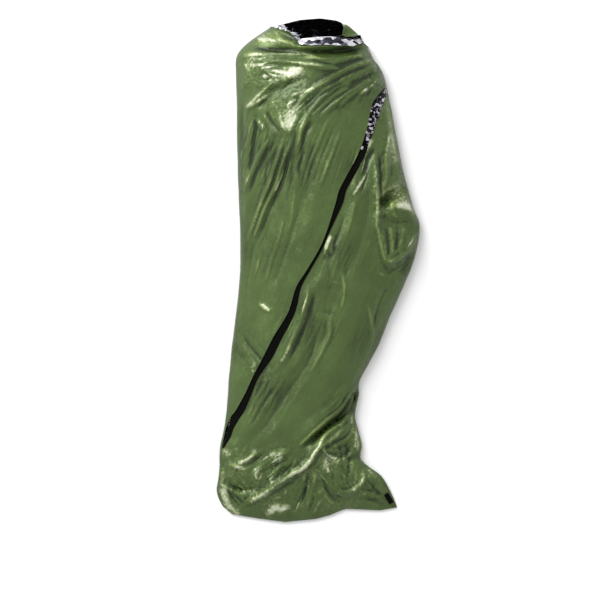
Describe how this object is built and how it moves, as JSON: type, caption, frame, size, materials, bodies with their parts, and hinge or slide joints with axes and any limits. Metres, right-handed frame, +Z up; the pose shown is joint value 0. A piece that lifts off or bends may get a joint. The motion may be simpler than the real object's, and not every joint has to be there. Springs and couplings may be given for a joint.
{
  "type": "emergency sleeping bag",
  "caption": "Thin metallised film sleeping bag with an open mouth and a taped side opening, lying on its back; a sleeper slides in and it reflects body heat.",
  "frame": {"origin": "on the floor under the middle of the bag's outline", "axes": "+Y towards the open mouth, +Z up from the floor through the bag's front, +X towards the side with the upper end of the taped opening"},
  "size_m": [0.658, 1.6374, 0.1528],
  "materials": {
    "film": "olive-green metallised film, silver inside",
    "tape": "black hook-and-loop tape"
  },
  "bodies": {
    "root": {"bag_film": "film", "closure_tape": "tape", "foot_tab": "tape"}
  },
  "joints": []
}
